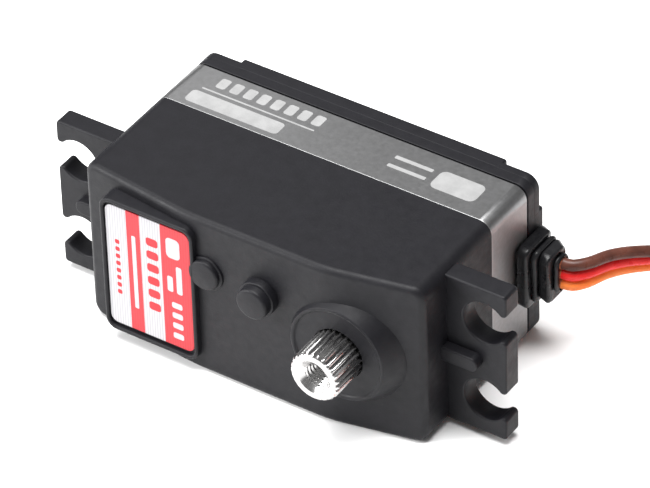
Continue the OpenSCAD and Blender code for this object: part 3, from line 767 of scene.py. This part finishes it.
def make_plug(material):
    """The three-way plug: a body of layers that leave windows over the contacts and mouths in front."""
    low, high = mm_box("connector_housing")
    x0, x1, y0, y1, z0, z1 = low[0], high[0], low[1], high[1], low[2], high[2]
    mid = (y0 + y1) / 2
    window = (x0 + 4.2, x0 + 6.6)
    mouth = 0.42

    def box(xa, xb, ya, yb, za, zb, width):
        loop = [(xa, za), (xb, za), (xb, zb), (xa, zb)]
        return prism(loop, ya - FRONT_Y, yb - FRONT_Y, width, 2)

    shells = [box(x0, x1 - 1.2, y0, y1, z0, z1 - 0.5, 0.12)]
    for ends in ((x0, window[0]), (window[1], x1 - 1.2)):
        shells.append(box(ends[0], ends[1], y0, y1, z1 - 1, z1, 0.12))
    rails = [y0, mid - 1.5 * PLUG_PITCH + 0.72, mid - PLUG_PITCH / 2, mid + PLUG_PITCH / 2,
             mid + 1.5 * PLUG_PITCH - 0.72, y1]
    for ya, yb in ((rails[0], rails[1]), (rails[4], rails[5])):
        shells.append(box(window[0] - 0.2, window[1] + 0.2, ya, yb, z1 - 1, z1 - 0.02, 0))
    for y in rails[2:4]:
        shells.append(box(window[0] - 0.2, window[1] + 0.2, y - 0.45, y + 0.45, z1 - 1, z1 - 0.02, 0))
    centre_z = (z0 + z1) / 2
    for za, zb in ((z0, centre_z - mouth), (centre_z + mouth, z1)):
        shells.append(box(x1 - 1.6, x1, y0, y1, za, zb, 0.12))
    posts = [y0] + [mid + k * PLUG_PITCH + side * mouth for k in (-1, 0, 1) for side in (-1, 1)] + [y1]
    for ya, yb in zip(posts[::2], posts[1::2]):
        shells.append(box(x1 - 1.6, x1 - 0.05, ya, yb, centre_z - 0.6, centre_z + 0.6, 0))
    piece = finish_mesh("plug_housing", joined("plug_housing", shells), [material])
    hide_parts("connector_housing")
    return piece


# ---------------------------------------------------------------- printed marks

def make_marks(name, loops, body_face, paint, lift=0.012):
    """Flat printed shapes. loops are outlines in u and v, and body_face places a point of them."""
    bm = bmesh.new()
    for loop in loops:
        base = [bm.verts.new(body_face(u, v, 0)) for u, v in loop]
        top = [bm.verts.new(body_face(u, v, lift)) for u, v in loop]
        bm.faces.new(top)
        bm.faces.new(base[::-1])
        for i in range(len(loop)):
            j = (i + 1) % len(loop)
            bm.faces.new((base[i], base[j], top[j], top[i]))
    bmesh.ops.recalc_face_normals(bm, faces=bm.faces)
    mesh = bpy.data.meshes.new(name)
    bm.to_mesh(mesh)
    bm.free()
    return finish_mesh(name, mesh, [paint], weighted=False)


def bar(u, v, length, width, radius):
    """A bar with round ends or corners, as an outline for make_marks."""
    return soft_rect(u, v, length, width, radius, 4)


def make_band_marks(paint):
    """Plain pale shapes where the band is printed: two plates, rules and a row of dashes."""
    span = BAND_REAR - BAND_FRONT

    def on_top(u, v, lift):
        return (u, FRONT_Y + BAND_FRONT + v * span, CASE_WID + lift - 0.002)

    def flat(u, v, length, width):
        return [(x, v + (z - v) / span) for x, z in bar(u, v, length, width, min(length, width) * 0.25)]

    loops = [flat(-12, 0.26, 11.6, 2), flat(-10.2, 0.5, 14, 0.22)]
    loops += [flat(-15.6 + 1.7 * i, 0.74, 1.15, 1.7) for i in range(8)]
    loops += [flat(14.4, 0.5, 5.4, 3), flat(8.6, 0.4, 4.6, 0.5), flat(8.6, 0.62, 4.6, 0.5)]
    piece = make_marks("band_print", loops, on_top, paint)


def make_label_marks(white, red):
    """Plain bars and dashes on the label, in place of any lettering."""
    low, high = mm_box("name_label")
    length = high[0] - low[0]

    def on_label(u, v, lift):
        return (low[0] + u * length, low[1] - lift + 0.002, MID_Z + v)

    def flat(u, v, thick, tall):
        return [(u + (x - u) / length, z) for x, z in bar(u, v, thick, tall, min(thick, tall) * 0.3)]

    pale = [flat(0.8, 5.2, 1.7, 2.6), flat(0.86, 1.2, 0.7, 3.6), flat(0.75, 0.4, 0.7, 2)]
    pale += [flat(0.82, -2.3 - 1.35 * i, 1.3, 0.75) for i in range(4)]
    pale.append(flat(0.33, 0, 0.5, 9.6))
    deep = [flat(0.55, 4.9 - 1.7 * i, 1.45, 1.05) for i in range(6)]
    deep += [flat(0.13, 3.2 - 0.95 * i, 0.55, 0.55) for i in range(8)]
    for name, loops, paint in (("label_print_pale", pale, white), ("label_print_deep", deep, red)):
        make_marks(name, loops, on_label, paint, 0.015)


# ---------------------------------------------------------------- lead

WIRE_D = 1.3
PLUG_PITCH = 2.54
COIL_AT = (64, 14)
COIL_Z = 2
COIL_R = 22.6
COIL_PITCH = 1.5
COIL_TURNS = 1.5
# Each point is x, y, z and the ribbon's tilt in degrees.
LEAD_ROUTE = [
    (24.4, LEAD_Y, 10.1, 0), (25.4, 12.8, 10.1, 0), (26.5, 14.1, 10.1, 4), (27.4, 16.4, 9.9, 9),
    (28.5, 18.6, 9.4, 15), (29.8, 20.8, 8.7, 20), (31.4, 23.6, 7.7, 22), (33.6, 27, 6.4, 20),
    (36.6, 30.4, 5, 14), (40.4, 33.4, 3.7, 8), (45, 35.4, 2.7, 3), (50, 36.3, 2.2, 0),
    (55, 36.6, 2, 0), (59.5, 36.6, 2, 0)]
TAIL_ROUTE = [
    (60.6, -6, 2, 0), (57.4, -4.9, 2, 5), (54.7, -2.9, 1.95, 15), (53, 0, 1.85, 30),
    (52.4, 3.4, 1.7, 48), (53, 6.8, 1.5, 66), (54.8, 9.8, 1.4, 80), (57.6, 11.6, 1.35, 90),
    (61, 12, 1.35, 90)]


def coil_points(steps=20):
    """The coiled turns, clockwise and winding inwards."""
    count = round(COIL_TURNS * steps)
    points = []
    for i in range(count + 1):
        turn = i / steps
        radius = COIL_R - COIL_PITCH * turn
        angle = math.pi / 2 - 2 * math.pi * turn
        points.append((COIL_AT[0] + radius * math.cos(angle), COIL_AT[1] + radius * math.sin(angle),
                       COIL_Z, 0))
    return points


def smooth_path(points, spacing):
    """A Catmull-Rom curve through points of any number of values, sampled about every spacing."""
    rows = [Vector(p) for p in points]
    rows = [rows[0] * 2 - rows[1]] + rows + [rows[-1] * 2 - rows[-2]]
    path = []
    for a, b, c, d in zip(rows, rows[1:], rows[2:], rows[3:]):
        steps = max(1, round((c.to_3d() - b.to_3d()).length / spacing))
        for i in range(steps):
            t = i / steps
            path.append(0.5 * (2 * b + (c - a) * t + (2 * a - 5 * b + 4 * c - d) * t ** 2
                               + (3 * b - a - 3 * c + d) * t ** 3))
    path.append(rows[-2])
    return path


def ribbon_section(spread, neck):
    """The outline of three bonded wires, as (thin, wide, wire) points, spread apart from pitch WIRE_D."""
    r = WIRE_D / 2
    gap = math.acos(neck / r)
    pitch = WIRE_D * spread
    arcs = [(0, -gap, gap, 8), (1, -gap, math.pi + gap, 14), (0, math.pi - gap, math.pi + gap, 8),
            (-1, math.pi - gap, 2 * math.pi + gap, 14)]
    outline = []
    for wire, start, end, count in arcs:
        for i in range(count + 1):
            angle = start + (end - start) * i / count
            outline.append((r * math.cos(angle), r * math.sin(angle) + wire * pitch, wire + 1))
    return outline


def sweep_ribbon(path, fan_from):
    """A mesh along path whose last stretch fans out to the plug's pitch."""
    bm = bmesh.new()
    total = len(path)
    rings = []
    owners = []
    for i, point in enumerate(path):
        ahead = path[min(i + 1, total - 1)].to_3d() - path[max(i - 1, 0)].to_3d()
        forward = Vector((1, 0, 0)) if i in (0, total - 1) else ahead.normalized()
        side = forward.cross(Vector((0, 0, 1))).normalized()
        up = side.cross(forward)
        tilt = math.radians(point[3])
        wide = up * math.cos(tilt) + side * math.sin(tilt)
        thin = side * math.cos(tilt) - up * math.sin(tilt)
        fan = max(0, (i - fan_from) / (total - 1 - fan_from))
        fan = fan * fan * (3 - 2 * fan)
        outline = ribbon_section(1 + fan * (PLUG_PITCH / WIRE_D - 1), 0.2 - 0.16 * fan)
        owners = [p[2] for p in outline]
        rings.append([bm.verts.new(point.to_3d() + thin * p[0] + wide * p[1]) for p in outline])
    count = len(owners)
    for near, far in zip(rings, rings[1:]):
        for k in range(count):
            nxt = (k + 1) % count
            face = bm.faces.new((near[k], near[nxt], far[nxt], far[k]))
            face.material_index = owners[k]
    for ring, flip in ((rings[0], True), (rings[-1], False)):
        bm.faces.new(ring[::-1] if flip else ring)
    mesh = bpy.data.meshes.new("servo_ribbon")
    bmesh.ops.recalc_face_normals(bm, faces=bm.faces)
    bm.to_mesh(mesh)
    bm.free()
    return mesh


def make_lead(insulation, plug):
    """The whole lead: out of the grommet, down to the surface, round the coil and into the plug."""
    path = smooth_path(LEAD_ROUTE + coil_points() + TAIL_ROUTE, 0.6)
    fan_from = len(path) - 12
    piece = finish_mesh("servo_ribbon", sweep_ribbon(path, fan_from), insulation, smooth=60, weighted=False)
    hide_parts("servo_lead", "lead_coil", "lead_end")


# ---------------------------------------------------------------- assembly

def dress_nodes(made):
    """Every CAD node that still shows gets the material of its record slot."""
    slots = {s["node"]: s["material_slot"] for s in frame["record"]["subparts"]}
    for name, piece in nodes.items():
        material = made.get(slots[name])
        if material:
            for place in piece.material_slots:
                place.material = material


add_camera()
add_floor()
add_light()
made = make_materials()
wires = [wire_material("wire_orange", (0.86, 0.2, 0.04), (0.95, 0.26, 0.06)),
         wire_material("wire_red", (0.7, 0.02, 0.02), (0.8, 0.03, 0.03)),
         wire_material("wire_brown", (0.07, 0.025, 0.018), (0.11, 0.04, 0.028))]
make_lead(wires, make_plug(made["connector_plastic"]))
dress_nodes(made)
make_top_case(made["black_nylon"])
make_output_gear(made["steel"])
make_bottom_cover(made["black_nylon"])
make_screws(made["black_screw"])
make_grommet(made["black_rubber"])
make_band_marks(moulded("ink_pale", (0.24, 0.24, 0.24), (0.28, 0.28, 0.28), 0.5))
make_label_marks(moulded("ink_white", (0.4, 0.39, 0.41), (0.44, 0.43, 0.45), 0.4),
                 moulded("ink_red", (0.44, 0.02, 0.028), (0.48, 0.024, 0.032), 0.4))
for node, width in (("middle_case", 0.12), ("name_label", 0.04), ("coil_tie", 0.2)):
    soften(node, width)
